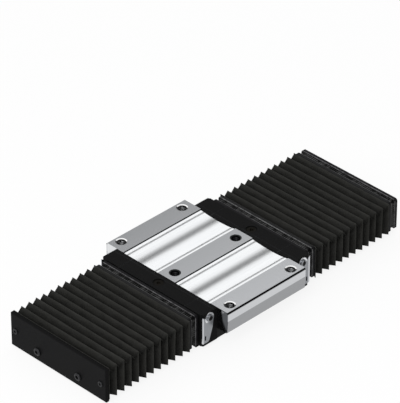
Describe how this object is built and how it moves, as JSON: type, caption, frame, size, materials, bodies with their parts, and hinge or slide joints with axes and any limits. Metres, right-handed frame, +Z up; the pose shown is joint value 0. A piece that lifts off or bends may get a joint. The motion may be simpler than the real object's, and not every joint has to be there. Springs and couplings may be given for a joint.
{
  "type": "rail carriage with bellows",
  "caption": "Wide rail carriage with a black folded-cloth bellows at each end that stretches and folds up to cover the rail; flanged steel block bolts under a table.",
  "frame": {"origin": "middle of the carriage's flat top face, which is the centre of the four table bolt holes", "axes": "+X along the rail, away from the end plate; +Y across the rail; +Z up, out of the top face"},
  "size_m": [0.2906, 0.12, 0.0298],
  "materials": {
    "ground_steel": "ground, with polished channels",
    "ball_steel": "polished",
    "retainer_resin": "moulded",
    "cap_resin": "moulded, fine grain",
    "plate_resin": "moulded, fine grain",
    "frame_resin": "moulded, fine grain",
    "bellows_cloth": "coated cloth, folded",
    "seal_rubber": "moulded",
    "bracket_steel": "rolled sheet, light",
    "plug_resin": "moulded",
    "end_plate_paint": "black, matt",
    "black_screws": "black oxide"
  },
  "bodies": {
    "carriage": {"ball_loop_lower_left": "ball_steel", "ball_loop_lower_right": "ball_steel", "ball_loop_upper_left": "ball_steel", "ball_loop_upper_right": "ball_steel", "bellows_cloth_far": "bellows_cloth", "bellows_cloth_near": "bellows_cloth", "bellows_frame_far": "frame_resin", "bellows_frame_near": "frame_resin", "bracket_screws_far": "bracket_steel", "bracket_screws_near": "bracket_steel", "cap_screws_far": "black_screws", "cap_screws_near": "black_screws", "end_cap_far": "cap_resin", "end_cap_near": "cap_resin", "end_seal_far": "seal_rubber", "end_seal_near": "seal_rubber", "frame_pins_far": "black_screws", "frame_pins_near": "black_screws", "lubrication_plug_far": "plug_resin", "lubrication_plug_near": "plug_resin", "mount_plate_far": "plate_resin", "mount_plate_near": "plate_resin", "mount_screws_far": "black_screws", "mount_screws_near": "black_screws", "retainer_strips_left": "retainer_resin", "retainer_strips_right": "retainer_resin", "side_bracket_far_left": "bracket_steel", "side_bracket_far_right": "bracket_steel", "side_bracket_near_left": "bracket_steel", "side_bracket_near_right": "bracket_steel", "side_seal_left": "seal_rubber", "side_seal_right": "seal_rubber", "steel_block": "ground_steel"},
    "near_end": {"end_plate": "end_plate_paint", "back_frame": "frame_resin", "rail_screws": "black_screws", "frame_screws": "black_screws"},
    "outer_end": {"bellows_frame_outer": "frame_resin", "mount_plate_outer": "plate_resin", "frame_pins_outer": "black_screws"}
  },
  "joints": [
    {"name": "near_bellows_slide", "type": "slide", "parent": "carriage", "child": "near_end", "axis": [-1, 0, 0], "range_m": [-0.04, 0.03], "deforming": ["bellows_cloth_near"]},
    {"name": "far_bellows_slide", "type": "slide", "parent": "carriage", "child": "outer_end", "axis": [1, 0, 0], "range_m": [-0.04, 0.03], "deforming": ["bellows_cloth_far"]}
  ]
}
